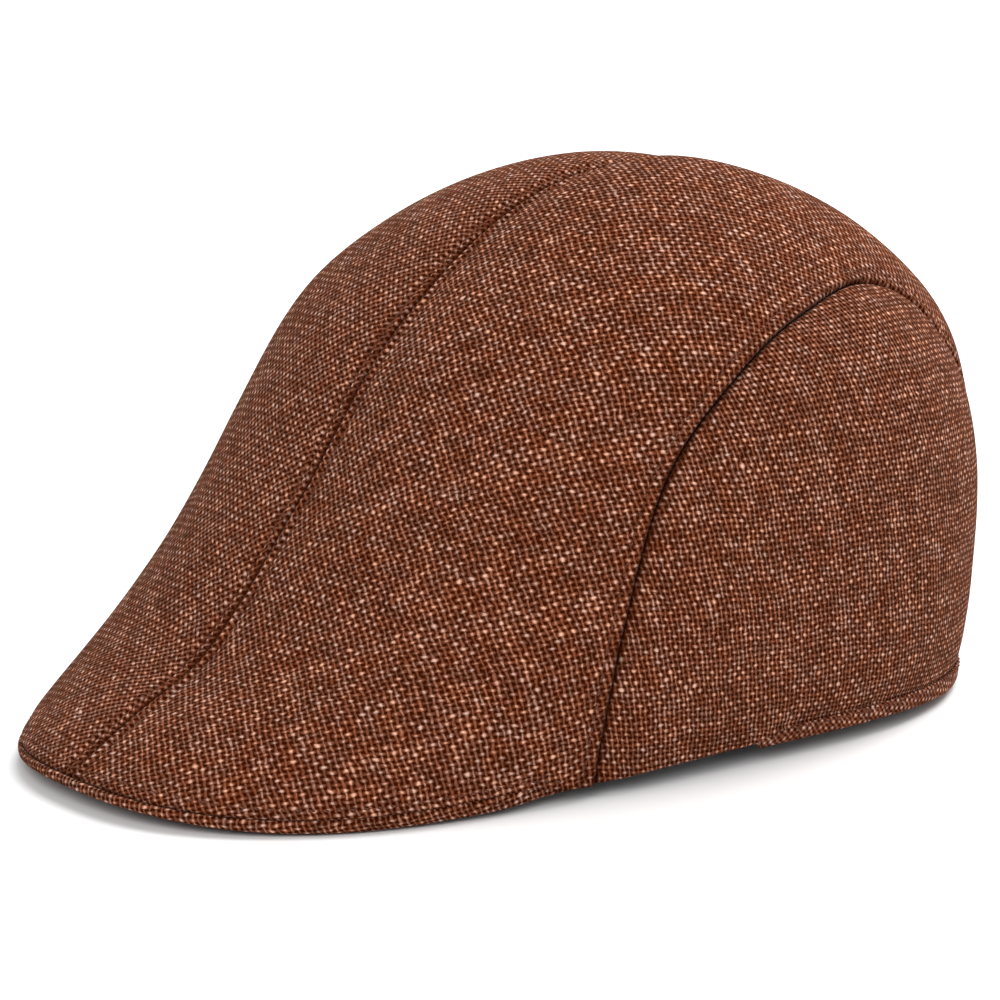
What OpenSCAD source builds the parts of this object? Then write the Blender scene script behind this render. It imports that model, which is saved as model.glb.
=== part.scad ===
// Duckbill flat cap of woven cloth.
// +Z is up, the bill points to -Y, and the cap stands on z = 0 with its left and right halves
// mirrored across X = 0. Sizes are millimetres.
//
// Every sewn piece follows one master surface, cap_point(angle, rise): angle is measured from the
// front of the bill towards +X, and rise goes from 0 at the lower edge to 1 at the top of the crown.
// Pieces are cut out of it on a disk map: a disk point (p, q) has radius 1 - rise, and -q is forward.

/* [Cap] */
// Length from the bill's lip to the back of the crown
cap_length = 266; // [250:2:280]
// Width across the widest part of the crown
cap_width = 181; // [170:1:192]
// Height of the crown above the table
cap_height = 141; // [130:1:150]

/* [Fabric] */
// Thickness of the outer cloth
shell_t = 1.2; // [0.8:0.1:1.4]
// Thickness of the lining cloth
lining_t = 0.6; // [0.4:0.1:0.7]
// Air between two layers of cloth
layer_gap = 0.8; // [0.5:0.1:0.8]

/* [Bill] */
// Thickness of the stiff board inside the bill
board_t = 1.6; // [1.2:0.1:1.8]
// Thickness of the cloth under the bill
under_visor_t = 0.8; // [0.5:0.1:0.9]
// How far out the bill's lip is rolled
lip_roll = 4.6; // [3:0.2:6]

/* [Hem] */
// Height of the binding round the back and sides, as a share of the crown's rise
binding_rise = 0.033; // [0.025:0.001:0.045]
// Thickness of the sweatband
sweatband_t = 1; // [0.8:0.1:1.2]

/* [Stitching] */
// Length from one stitch to the next
stitch_pitch = 4; // [3:0.5:6]
// Radius of the thread
thread_r = 0.4; // [0.3:0.05:0.5]

/* [Hidden] */

// Where the seams and edges run, as angles from the front of the bill
visor_angle = 48;    // tips of the bill
temple_angle = 49.5; // side seam meets the hem in front of the ear
binding_angle = 77;  // front end of the hem binding
nape_angle = 155;    // side seam meets the hem at the back
elastic_angle = 168; // end of the sweatband, where the elastic takes over

// Rises of the edges above the lower edge
edge_rise = 0.008;   // lower edge of the side panels, inside the hem binding
lip_rise = 0.036;    // seam along the bill's lip
visor_rise = 0.37;   // inner edge of the bill, on the centre line
band_rise_front = 0.125; // height of the sweatband over the forehead
band_rise_side = 0.2;    // height of the sweatband elsewhere

// Depths of the layers below the master surface
lining_depth = shell_t + layer_gap;
band_depth = lining_depth + lining_t + layer_gap;
visor_depth = 6.5;   // inner edge of the bill's cloth
rim_depth = 1.8;     // rim of the bill's underside, inside the edge of the panels
visor_sag = 2.6;     // how far the bill's underside hangs below a straight line across it
seam_pull = 0.8;     // how far a seam pulls the cloth in
seam_reach = 0.09;   // how far from a seam the cloth is pulled in, as a share of the panel's width
seam_gap = 0.0006;   // half the gap between two panels, on the disk map

// Centre line from the lip over the crown to the back hem: shares of the length and the height
centre_line = [
    [-0.497, 0.031], [-0.421, 0.138], [-0.335, 0.238], [-0.231, 0.473], [-0.123, 0.742], [0.014, 0.936],
    [0.15, 1],
    [0.308, 0.94], [0.404, 0.836], [0.472, 0.686], [0.496, 0.482], [0.487, 0.263], [0.472, 0]
];
// Side line from the hem to the top of the crown: shares of the half width and the height
side_line = [
    [0.934, 0.031], [0.987, 0.195], [0.996, 0.394], [0.97, 0.603], [0.82, 0.789], [0.464, 0.933], [0, 1]
];
// How square the outline is at the lower edge, and how round near the top: 2 is an ellipse
front_square = [2.44, 2];
back_square = [2.54, 2.08];
front_dip = side_line[0][1] * cap_height; // drop of the lower edge at the bill's corners, down to the table
back_dip = 1.2;      // drop of the lower edge at the back corners

// Inner points of the side seam on the disk map, from the temple up over the ear to the nape
seam_points = [
    [0.65, -0.515], [0.54, -0.38], [0.445, -0.25], [0.385, -0.11], [0.325, 0.02], [0.278, 0.142],
    [0.297, 0.25], [0.345, 0.352], [0.382, 0.5], [0.41, 0.7]
];

// Mesh steps
top_steps = [42, 16];
side_steps = [42, 12];
lining_top_steps = [24, 8];
lining_side_steps = [24, 6];
visor_steps = 36;
band_steps = 60;
apex_size = 0.01;    // keeps the surface regular where all angles meet
normal_step = 0.004; // step on the disk map for measuring a direction
band_end_angle = 360 - elastic_angle;

// ---------- Curves and the master surface ----------

// Point at place u of a smooth curve through the points, one unit from each point to the next
function spline(points, u) =
    let (last = len(points) - 1,
         i = min(last - 1, max(0, floor(u))),
         f = u - i,
         b = points[i],
         c = points[i + 1],
         a = i == 0 ? 2 * b - c : points[i - 1],
         d = i == last - 1 ? 2 * c - b : points[i + 2])
    0.5 * (2 * b + (c - a) * f + (2 * a - 5 * b + 4 * c - d) * f * f + (3 * b - a - 3 * c + d) * f * f * f);

function smooth(x) = let (k = min(1, max(0, x))) k * k * (3 - 2 * k);
function mix(a, b, k) = a + (b - a) * k;

// How far an angle is from the front, either way round
function off_front(angle) = min(abs(angle), 360 - abs(angle));

spans = len(side_line) - 1;
side_over = concat(side_line, [for (i = [spans - 1 : -1 : 0]) [-side_line[i][0], side_line[i][1]]]);
crown_y = centre_line[spans][0] * cap_length;

function centre_at(u) = let (v = spline(centre_line, u)) [v[0] * cap_length, v[1] * cap_height];
function side_at(u) = let (v = spline(side_over, u)) [v[0] * cap_width / 2, v[1] * cap_height];

// How far the lip's roll pushes the cloth out
function roll_out(angle, rise) =
    let (near = max(0, rise) / 0.05)
    lip_roll * smooth((50 - off_front(angle)) / 25) * near * exp(1 - near);

function cap_point(angle, rise) =
    let (front = cos(angle) >= 0,
         line = centre_at(front ? spans * rise : 2 * spans - spans * rise),
         side = side_at(spans * rise),
         reach = max(apex_size, abs(line[0] - crown_y)),
         half = max(apex_size, side[0]),
         squares = front ? front_square : back_square,
         square = mix(squares[0], squares[1], rise),
         r = pow(pow(abs(cos(angle)) / reach, square) + pow(abs(sin(angle)) / half, square), -1 / square),
         share = pow(r * abs(cos(angle)) / reach, square),
         dip = (front ? front_dip : back_dip) * 4 * share * (1 - share) * pow(1 - rise, 2),
         out = r + roll_out(angle, rise))
    [out * sin(angle), crown_y - out * cos(angle), mix(side[1], line[1], share) - dip];

function on_disk(p, q) = cap_point(atan2(p, -q), 1 - norm([p, q]));

// Outward direction of the surface at a disk point
function outward(p, q) =
    let (across = on_disk(p + normal_step, q) - on_disk(p - normal_step, q),
         along = on_disk(p, q + normal_step) - on_disk(p, q - normal_step),
         n = cross(across, along))
    n / norm(n);

// Point at a depth below the surface
function below(pq, depth) = on_disk(pq[0], pq[1]) - depth * outward(pq[0], pq[1]);
function disk_at(angle, rise) = (1 - rise) * [sin(angle), -cos(angle)];
function layer_point(angle, rise, depth) = below(disk_at(angle, rise), depth);

// ---------- Panel outlines on the disk map ----------

function side_seam(u) =
    let (points = concat([disk_at(temple_angle, 0)], seam_points, [disk_at(nape_angle, 0)]))
    spline(points, u * (len(points) - 1));

// Inner edge of the bill, where the lining starts
function visor_edge_rise(angle) = max(0.006, visor_rise * (1 - pow(min(1, off_front(angle) / visor_angle), 2)));

// Seam along the lip, which runs down to the hem at the bill's corners
function lip_rise_at(angle) = mix(lip_rise, edge_rise, smooth((abs(angle) - 40) / 9));

// Lower edge of a top panel at the front, from the centre seam to the side seam
function top_front(v, lined) =
    let (angle = v * temple_angle)
    disk_at(angle, lined ? visor_edge_rise(angle) : lip_rise_at(angle));
function top_back(v) = disk_at(mix(180, nape_angle, v), edge_rise);

function trimmed_seam(u) = let (s = side_seam(u)) s * min(1, (1 - edge_rise) / norm(s));

// A top panel's disk point: u runs from the front to the back, v from the centre seam to the side seam
function top_disk(u, v, lined) =
    let (start = top_front(0, lined), stop = top_back(0),
         first = top_front(1, lined), last = top_back(1),
         seam = trimmed_seam(u) + (1 - u) * (first - trimmed_seam(0)),
         sides = mix(mix(start, stop, u), seam, v),
         ends = mix(top_front(v, lined), top_back(v), u),
         corners = mix(mix(start, stop, u), mix(first, last, u), v),
         spot = sides + ends - corners)
    spot + [seam_gap * (1 - 2 * v), 0];

// A side panel's disk point: u runs along the seam from the temple to the nape, v from the hem to the seam
function side_disk(u, v) =
    let (seam = trimmed_seam(u) + [seam_gap, 0],
         angle = mix(temple_angle + 0.7, nape_angle - 0.7, pow(u, 0.85)),
         hem = disk_at(angle, edge_rise))
    mix(hem, seam, v);

// Sample places crowded towards the ends, where the seams pull the cloth in
function crowded(i, n) = let (k = i / n) k - sin(360 * k) / (2 * PI) * 0.7;
function pull_in(v) = seam_pull * (1 - smooth(min(v, 1 - v) / seam_reach));

// ---------- Solids ----------

// Closed sheet between two grids of points: upper is the face whose grid turns clockwise seen from outside
module sheet(upper, lower) {
    rows = len(upper) - 1;
    cols = len(upper[0]) - 1;
    size = (rows + 1) * (cols + 1);
    function at(i, j) = i * (cols + 1) + j;
    points = concat([for (row = upper) each row], [for (row = lower) each row]);
    top = [for (i = [0 : rows - 1], j = [0 : cols - 1]) each
        [[at(i, j), at(i + 1, j), at(i + 1, j + 1)], [at(i, j), at(i + 1, j + 1), at(i, j + 1)]]];
    bottom = [for (f = top) [f[2] + size, f[1] + size, f[0] + size]];
    rim = concat(
        [for (j = [0 : cols]) at(0, j)],
        [for (i = [1 : rows]) at(i, cols)],
        [for (j = [cols - 1 : -1 : 0]) at(rows, j)],
        [for (i = [rows - 1 : -1 : 1]) at(i, 0)]);
    walls = [for (k = [0 : len(rim) - 1]) let (a = rim[k], b = rim[(k + 1) % len(rim)]) each
        [[a, b, b + size], [a, b + size, a + size]]];
    polyhedron(points, concat(top, bottom, walls), convexity = 10);
}

module mirrored() {
    mirror([1, 0, 0]) children();
}

// Grid of points below the surface, for a disk point and a depth given as functions of the grid's numbers
function layer(steps, spot, depth) =
    [for (i = [0 : steps[0]]) [for (j = [0 : steps[1]]) below(spot(i, j), depth(j))]];

module top_shape(steps, lined, depth, thickness) {
    spot = function (i, j) top_disk(i / steps[0], crowded(j, steps[1]), lined);
    outer = function (j) depth + (lined ? 0 : pull_in(crowded(j, steps[1])));
    inner = function (j) outer(j) + thickness;
    sheet(layer(steps, spot, outer), layer(steps, spot, inner));
}

module side_shape(steps, pulled, depth, thickness) {
    spot = function (i, j) side_disk(i / steps[0], crowded(j, steps[1]));
    outer = function (j)
        let (v = crowded(j, steps[1]))
        depth + (pulled && v > 0.5 ? pull_in(v) : 0);
    inner = function (j) outer(j) + thickness;
    sheet(layer(steps, spot, inner), layer(steps, spot, outer));
}

// Band between two angles and two rises, given as functions of the angle
module band_shape(from, to, steps, low, high, depth, thickness, levels = 3) {
    spot = function (i, j)
        let (angle = mix(from, to, i / steps))
        disk_at(angle, mix(low(angle), high(angle), j / levels));
    outer = function (j) depth;
    inner = function (j) depth + thickness;
    sheet(layer([steps, levels], spot, inner), layer([steps, levels], spot, outer));
}

// Row of stitches along a path of points: each is a short round thread with a gap after it
module stitch_row(path) {
    for (k = [0 : 2 : len(path) - 2]) {
        way = path[k + 1] - path[k];
        translate(path[k])
            rotate([0, acos(way[2] / norm(way)), atan2(way[1], way[0])])
                cylinder(h = norm(way), r = thread_r, $fn = 16);
    }
}

// ---------- Bill ----------

// How far the underside is tucked in behind the top panels: 0 along the lip, 1 at the bill's corners
function tuck(angle) = smooth((abs(angle) - 38) / 8);

function visor_outer(angle) =
    let (rise = edge_rise * tuck(angle), rim = layer_point(angle, rise, rim_depth))
    [rim[0], rim[1], cap_point(angle, rise)[2]];
function visor_inner(angle) = layer_point(angle, visor_edge_rise(angle), visor_depth);
function sag_at(angle, u) = visor_sag * sin(180 * u) * (1 - min(1, abs(angle) / visor_angle));
function visor_low(angle, u) = mix(visor_outer(angle), visor_inner(angle), u) - [0, 0, sag_at(angle, u)];
function visor_turn(i) = mix(-visor_angle, visor_angle, i / visor_steps);

module under_visor() {
    lip_shares = [0.93, 0.5, 0.14];
    under_places = [0, 0.15, 0.4, 0.7, 1];
    function lip_point(angle, share, depth) = layer_point(
        angle, share * lip_rise_at(angle) + edge_rise * tuck(angle), depth + rim_depth * tuck(angle));
    lower = [for (i = [0 : visor_steps]) let (a = visor_turn(i)) concat(
        [for (share = lip_shares) lip_point(a, share, 0)],
        [for (u = under_places) visor_low(a, u)])];
    upper = [for (i = [0 : visor_steps]) let (a = visor_turn(i)) concat(
        [for (share = lip_shares) lip_point(a, share + 0.07, under_visor_t)],
        [for (u = under_places) visor_low(a, max(u, 0.03)) + [0, 0, under_visor_t]])];
    color([0.43, 0.26, 0.19]) sheet(lower, upper);
}

module visor_board() {
    lift = under_visor_t + 0.2;
    places = [0.06, 0.3, 0.55, 0.8, 0.94];
    function turn(i) = visor_turn(i) * 0.94;
    lower = [for (i = [0 : visor_steps]) [for (u = places) visor_low(turn(i), u) + [0, 0, lift]]];
    upper = [for (i = [0 : visor_steps]) [for (u = places) visor_low(turn(i), u) + [0, 0, lift + board_t]]];
    color([0.12, 0.12, 0.13]) sheet(lower, upper);
}

// ---------- Outer shell ----------

module top_panel() { top_shape(top_steps, false, 0, shell_t); }
module side_panel() { side_shape(side_steps, true, 0, shell_t); }

module top_panel_left() { color([0.47, 0.29, 0.21]) top_panel(); }
module top_panel_right() { color([0.47, 0.29, 0.21]) mirrored() top_panel(); }
module side_panel_left() { color([0.44, 0.27, 0.2]) side_panel(); }
module side_panel_right() { color([0.44, 0.27, 0.2]) mirrored() side_panel(); }

// Folded strip that closes the hem: an outer leg, a flat web underneath and an open inner side
module hem_binding() {
    outside = -0.9;
    inside = -0.1;
    web = 0.8;
    function ring(angle) =
        let (rim = cap_point(angle, 0),
             floor_z = max(0, rim[2]),
             under = layer_point(angle, 0, outside + 0.3),
             heel = layer_point(angle, 0, 2.6))
        [
            layer_point(angle, binding_rise, outside),
            layer_point(angle, 0.006, outside),
            [under[0], under[1], floor_z],
            [heel[0], heel[1], floor_z],
            [heel[0], heel[1], floor_z + web],
            layer_point(angle, 0.006, inside),
            layer_point(angle, binding_rise, inside)
        ];
    rings = [for (i = [0 : band_steps]) ring(mix(binding_angle, 360 - binding_angle, i / band_steps))];
    sides = len(rings[0]);
    skin = [for (i = [0 : band_steps - 1], k = [0 : sides - 1]) let (
        a = i * sides + k, b = i * sides + (k + 1) % sides) each
        [[a, b + sides, b], [a, a + sides, b + sides]]];
    first = [for (k = [1 : sides - 2]) fan(k, sides)];
    end = band_steps * sides;
    last = [for (f = first) [f[2] + end, f[1] + end, f[0] + end]];
    color([0.4, 0.24, 0.18])
        polyhedron([for (r = rings) each r], concat(skin, first, last), convexity = 10);
}

// Triangles that close the end of a seven-sided ring: the web's corner sees every other point
function fan(k, sides) =
    let (hub = sides - 2) [hub, (hub + k) % sides, (hub + k + 1) % sides];

// ---------- Inside ----------

module lining_top() { top_shape(lining_top_steps, true, lining_depth, lining_t); }
module lining_side() { side_shape(lining_side_steps, false, lining_depth, lining_t); }

module lining_top_left() { color([0.2, 0.13, 0.1]) lining_top(); }
module lining_top_right() { color([0.2, 0.13, 0.1]) mirrored() lining_top(); }
module lining_side_left() { color([0.2, 0.13, 0.1]) lining_side(); }
module lining_side_right() { color([0.2, 0.13, 0.1]) mirrored() lining_side(); }

band_low = function (angle) visor_edge_rise(angle) + 0.014;
band_high = function (angle)
    band_low(angle) + mix(band_rise_front, band_rise_side, smooth(off_front(angle) / 60));

module sweatband() {
    color([0.1, 0.08, 0.08])
        band_shape(-elastic_angle, elastic_angle, band_steps, band_low, band_high, band_depth, sweatband_t);
}

module back_elastic() {
    high = function (angle) band_low(angle) + band_rise_side * 0.8;
    color([0.08, 0.08, 0.08])
        band_shape(elastic_angle + 0.4, band_end_angle - 0.4, 10, band_low, high, band_depth, sweatband_t);
}

// Labels hang from the top of the sweatband, between it and the lining
label_depth = lining_depth + lining_t + 0.2;
label_t = 0.4;
label_low = function (angle) 0.18;

module size_label() {
    high = function (angle) 0.3;
    color([0.86, 0.84, 0.79]) band_shape(175, 185, 6, label_low, high, label_depth, label_t);
}

module care_label() {
    high = function (angle) 0.4;
    color([0.86, 0.84, 0.79]) band_shape(214, 226, 6, label_low, high, label_depth, label_t);
}

// ---------- Stitching ----------

// Stitch count for a seam of a given length
function stitch_marks(seam_length) = 2 * floor(seam_length / stitch_pitch);
thread_lift = thread_r + 0.05;

// Topstitching on a top panel, at a share of the way from the centre seam to the side seam
module top_stitch(v, seam_length) {
    marks = stitch_marks(seam_length);
    depth = pull_in(v) - thread_lift;
    stitch_row([for (i = [1 : marks - 1]) below(top_disk(i / marks, v, false), depth)]);
}

module centre_seam_stitch() { top_stitch(0.045, 1.45 * cap_length); }
module side_seam_stitch() { top_stitch(0.95, 1.25 * cap_length); }

module centre_seam_stitch_left() { color([0.3, 0.17, 0.12]) centre_seam_stitch(); }
module centre_seam_stitch_right() { color([0.3, 0.17, 0.12]) mirrored() centre_seam_stitch(); }
module side_seam_stitch_left() { color([0.3, 0.17, 0.12]) side_seam_stitch(); }
module side_seam_stitch_right() { color([0.3, 0.17, 0.12]) mirrored() side_seam_stitch(); }

// Stitching that follows the hem or the lip at a given rise and depth
module edge_stitch(from, to, edge_length, rise, depth) {
    marks = stitch_marks(edge_length);
    function spot(angle) = layer_point(angle, rise(angle), depth);
    stitch_row([for (i = [1 : marks - 1]) spot(mix(from, to, i / marks))]);
}

module visor_edge_stitch() {
    rise = function (angle) lip_rise_at(angle) + 0.02;
    color([0.3, 0.17, 0.12])
        edge_stitch(-visor_angle + 4, visor_angle - 4, 1.2 * cap_width, rise, -thread_lift);
}

module hem_stitch() {
    rise = function (angle) binding_rise - 0.008;
    color([0.3, 0.17, 0.12])
        edge_stitch(binding_angle + 1, 359 - binding_angle, 1.6 * cap_width, rise, -0.9 - thread_lift);
}

module sweatband_stitch() {
    rise = function (angle) band_low(angle) + 0.012;
    color([0.14, 0.1, 0.09])
        edge_stitch(1 - elastic_angle, elastic_angle - 1, 3 * cap_width, rise,
            band_depth + sweatband_t + thread_lift);
}

// Short rows that hold a label to the lining just above the sweatband
module label_stitch(from, to, rise_at) {
    rise = function (angle) rise_at;
    color([0.8, 0.78, 0.72])
        edge_stitch(from, to, 0.09 * cap_width, rise, label_depth + label_t + thread_lift);
}

module size_label_stitch() { label_stitch(176, 184, 0.25); }
module care_label_stitch() { label_stitch(215, 225, 0.25); }

// ---------- Nodes ----------

top_panel_left();
top_panel_right();
side_panel_left();
side_panel_right();
under_visor();
visor_board();
hem_binding();
lining_top_left();
lining_top_right();
lining_side_left();
lining_side_right();
sweatband();
back_elastic();
size_label();
care_label();
centre_seam_stitch_left();
centre_seam_stitch_right();
side_seam_stitch_left();
side_seam_stitch_right();
visor_edge_stitch();
hem_stitch();
sweatband_stitch();
size_label_stitch();
care_label_stitch();
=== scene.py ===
"""Duckbill flat cap: woven panels, bill, hem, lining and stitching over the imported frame.

The cap's master surface and panel outlines are the same as in the CAD source, in millimetres. Each
piece of cloth is a fine closed sheet on that surface with its own relief: seams pull it in, edges roll
over, and the cloth between them stands proud. Every sheet carries its grain, which is where each point
lay when the cloth was flat, so that the weave follows the panels as real cloth does.
"""
import math
from functools import partial

import bpy
import numpy as np
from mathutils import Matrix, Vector


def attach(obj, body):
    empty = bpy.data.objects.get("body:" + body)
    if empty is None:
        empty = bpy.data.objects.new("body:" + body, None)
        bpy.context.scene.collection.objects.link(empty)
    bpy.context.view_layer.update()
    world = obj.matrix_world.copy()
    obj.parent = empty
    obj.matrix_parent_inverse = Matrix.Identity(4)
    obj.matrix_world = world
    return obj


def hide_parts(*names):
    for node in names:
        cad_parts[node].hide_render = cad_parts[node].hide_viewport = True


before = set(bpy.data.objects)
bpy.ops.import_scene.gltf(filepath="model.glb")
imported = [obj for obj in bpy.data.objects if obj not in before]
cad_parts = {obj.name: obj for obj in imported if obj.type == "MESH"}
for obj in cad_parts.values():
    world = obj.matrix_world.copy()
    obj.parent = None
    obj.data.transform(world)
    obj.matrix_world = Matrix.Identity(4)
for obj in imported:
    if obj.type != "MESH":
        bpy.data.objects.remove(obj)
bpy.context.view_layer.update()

# ---------- Sizes, in millimetres and degrees as in the CAD source ----------

MM = 0.001
CAP_LENGTH, CAP_WIDTH, CAP_HEIGHT = 266.0, 181.0, 141.0
SHELL_T, LINING_T, LAYER_GAP = 1.2, 0.6, 0.8
UNDER_VISOR_T = 0.8
LIP_ROLL, ROLL_RISE = 4.6, 0.05  # how far the lip is rolled out, and the rise where it is rolled the most
ROLL_END, ROLL_FADE = 50, 25  # angle where the roll ends, and the angle over which it fades
BINDING_RISE = 0.033
SWEATBAND_T = 1.0
VISOR_ANGLE, TEMPLE_ANGLE, BINDING_ANGLE = 48.0, 49.5, 77.0
NAPE_ANGLE, ELASTIC_ANGLE = 155.0, 168.0
EDGE_RISE, LIP_RISE, VISOR_RISE = 0.008, 0.036, 0.37
LOWEST_VISOR_RISE = 0.006
LIP_FALL_ANGLE, LIP_FALL_WIDTH = 40, 9  # where the lip's seam runs down to the hem
TUCK_ANGLE, TUCK_WIDTH = 38, 8  # where the bill's underside goes in behind the top panels
BAND_RISE_FRONT, BAND_RISE_SIDE = 0.125, 0.2
BINDING_CREASE = 4.1  # distance from the hem of the crease just above the binding
LINING_DEPTH = SHELL_T + LAYER_GAP
BAND_DEPTH = LINING_DEPTH + LINING_T + LAYER_GAP
RIM_DEPTH, VISOR_DEPTH, VISOR_SAG = 1.8, 6.5, 2.6
SEAM_GAP = 0.0006
SEAM_OPENING, OPENING_END = 0.002, 0.6  # how far the side seam is held open at the temple, and to where
SIDE_CLEARANCE = 0.7  # degrees between the hem's ends of a side panel and the top panel
SIDE_SPREAD = 0.85  # spreads the side panel's rows along the hem as the seam spreads them
APEX_SIZE = 0.01
NORMAL_STEP = 0.004

CENTRE_LINE = np.array([
    [-0.497, 0.031], [-0.421, 0.138], [-0.335, 0.238], [-0.231, 0.473], [-0.123, 0.742],
    [0.014, 0.936], [0.15, 1], [0.308, 0.94], [0.404, 0.836], [0.472, 0.686], [0.496, 0.482],
    [0.487, 0.263], [0.472, 0]])
SIDE_LINE = np.array([
    [0.934, 0.031], [0.987, 0.195], [0.996, 0.394], [0.97, 0.603], [0.82, 0.789], [0.464, 0.933], [0, 1]])
FRONT_SQUARE, BACK_SQUARE = (2.44, 2.0), (2.54, 2.08)
FRONT_DIP, BACK_DIP = SIDE_LINE[0, 1] * CAP_HEIGHT, 1.2
SEAM_POINTS = np.array([
    [0.65, -0.515], [0.54, -0.38], [0.445, -0.25], [0.385, -0.11], [0.325, 0.02], [0.278, 0.142],
    [0.297, 0.25], [0.345, 0.352], [0.382, 0.5], [0.41, 0.7]])

# ---------- Curves ----------


def smooth(x):
    k = np.clip(x, 0, 1)
    return k * k * (3 - 2 * k)


def mix(a, b, k):
    return a + (b - a) * k


def grids(*values):
    """The values as arrays of numbers of one shape."""
    return np.broadcast_arrays(*(np.asarray(value, float) for value in values))


def curve_weights(f):
    """Weights of the four points round a place on a Catmull-Rom curve."""
    return 0.5 * np.stack([
        -f + 2 * f**2 - f**3, 2 - 5 * f**2 + 3 * f**3, f + 4 * f**2 - 3 * f**3, f**3 - f**2])


def padded_ends(points):
    """The points with one more at each end, in line with the last two."""
    return np.concatenate([2 * points[:1] - points[1:2], points, 2 * points[-1:] - points[-2:-1]])


def spline(points, u):
    """Place u on a smooth curve through the points, one unit from each point to the next."""
    u = np.asarray(u, float)
    start = np.clip(np.floor(u), 0, len(points) - 2).astype(int)
    wide = padded_ends(points)
    return sum(w[..., None] * wide[start + k] for k, w in enumerate(curve_weights(u - start)))


def spline_grid(grid, u, v):
    """Place (u, v) on a smooth surface through a grid of points."""
    u, v = grids(u, v)
    wide = padded_ends(padded_ends(grid).swapaxes(0, 1)).swapaxes(0, 1)
    row = np.clip(np.floor(u), 0, grid.shape[0] - 2).astype(int)
    col = np.clip(np.floor(v), 0, grid.shape[1] - 2).astype(int)
    rows, cols = curve_weights(u - row), curve_weights(v - col)
    return sum((rows[a] * cols[b])[..., None] * wide[row + a, col + b] for a in range(4) for b in range(4))


def run_length(points, axis=0):
    """Distance from the first point to each point along an axis of a grid."""
    steps = np.linalg.norm(np.diff(points, axis=axis), axis=-1)
    return np.concatenate([np.zeros_like(steps.take([0], axis)), np.cumsum(steps, axis)], axis)


def lengths_over(grid):
    """Length along a grid's first column and lengths across each of its rows."""
    across = run_length(grid, axis=1)
    return np.stack([run_length(grid, axis=0)[:, :1] + 0 * across, across], -1)


def unit(vectors):
    return vectors / np.maximum(np.linalg.norm(vectors, axis=-1, keepdims=True), 1e-12)


# ---------- Master surface ----------

SPANS = len(SIDE_LINE) - 1
SIDE_OVER = np.concatenate([SIDE_LINE, SIDE_LINE[:-1][::-1] * [-1, 1]]) * [CAP_WIDTH / 2, CAP_HEIGHT]
CENTRE = CENTRE_LINE * [CAP_LENGTH, CAP_HEIGHT]
CROWN_Y = CENTRE[SPANS, 0]


def off_front(angle):
    """How far an angle is from the front, either way round."""
    return np.minimum(np.abs(angle), 360 - np.abs(angle))


def roll_out(angle, rise):
    near = np.maximum(0, rise) / ROLL_RISE
    return LIP_ROLL * smooth((ROLL_END - off_front(angle)) / ROLL_FADE) * near * np.exp(1 - near)


def cap_point(angle, rise):
    angle, rise = grids(angle, rise)
    cosine, sine = np.cos(np.radians(angle)), np.sin(np.radians(angle))
    front = cosine >= 0
    line = spline(CENTRE, np.where(front, SPANS * rise, 2 * SPANS - SPANS * rise))
    side = spline(SIDE_OVER, SPANS * rise)
    reach = np.maximum(APEX_SIZE, np.abs(line[..., 0] - CROWN_Y))
    half = np.maximum(APEX_SIZE, side[..., 0])
    square = np.where(front, mix(*FRONT_SQUARE, rise), mix(*BACK_SQUARE, rise))
    r = ((np.abs(cosine) / reach)**square + (np.abs(sine) / half)**square)**(-1 / square)
    share = (r * np.abs(cosine) / reach)**square
    dip = np.where(front, FRONT_DIP, BACK_DIP) * 4 * share * (1 - share) * (1 - rise)**2
    out = r + roll_out(angle, rise)
    height = mix(side[..., 1], line[..., 1], share) - dip
    return np.stack([out * sine, CROWN_Y - out * cosine, height], -1)


def on_disk(spot):
    """Surface point at a disk point, whose radius is 1 - rise and whose -y is forward."""
    angle = np.degrees(np.arctan2(spot[..., 0], -spot[..., 1]))
    return cap_point(angle, 1 - np.linalg.norm(spot, axis=-1))


def outward(spot):
    across = on_disk(spot + [NORMAL_STEP, 0]) - on_disk(spot - [NORMAL_STEP, 0])
    along = on_disk(spot + [0, NORMAL_STEP]) - on_disk(spot - [0, NORMAL_STEP])
    return unit(np.cross(across, along))


def raised(spot, height):
    """Point that stands a height proud of the surface, or below it where the height is negative."""
    return on_disk(spot) + np.asarray(height)[..., None] * outward(spot)


def disk_at(angle, rise):
    turn = np.radians(angle)
    return (1 - np.asarray(rise, float))[..., None] * np.stack([np.sin(turn), -np.cos(turn)], -1)


# ---------- Panel outlines on the disk map ----------

SIDE_SEAM = np.concatenate([
    disk_at(np.array([TEMPLE_ANGLE]), [0]), SEAM_POINTS, disk_at(np.array([NAPE_ANGLE]), [0])])


def trimmed_seam(u):
    seam = spline(SIDE_SEAM, u * (len(SIDE_SEAM) - 1))
    return seam * np.minimum(1, (1 - EDGE_RISE) / np.linalg.norm(seam, axis=-1, keepdims=True))


def visor_edge_rise(angle):
    across = np.minimum(1, off_front(angle) / VISOR_ANGLE)
    return np.maximum(LOWEST_VISOR_RISE, VISOR_RISE * (1 - across**2))


def lip_rise_at(angle):
    """Rise of the seam along the lip, which runs down to the hem at the bill's corners."""
    return mix(LIP_RISE, EDGE_RISE, smooth((off_front(angle) - LIP_FALL_ANGLE) / LIP_FALL_WIDTH))


def top_front(v, lined):
    angle = np.asarray(v, float) * TEMPLE_ANGLE
    return disk_at(angle, visor_edge_rise(angle) if lined else lip_rise_at(angle))


def top_back(v):
    angle = mix(180, NAPE_ANGLE, np.asarray(v, float))
    return disk_at(angle, np.full_like(angle, EDGE_RISE))


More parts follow.
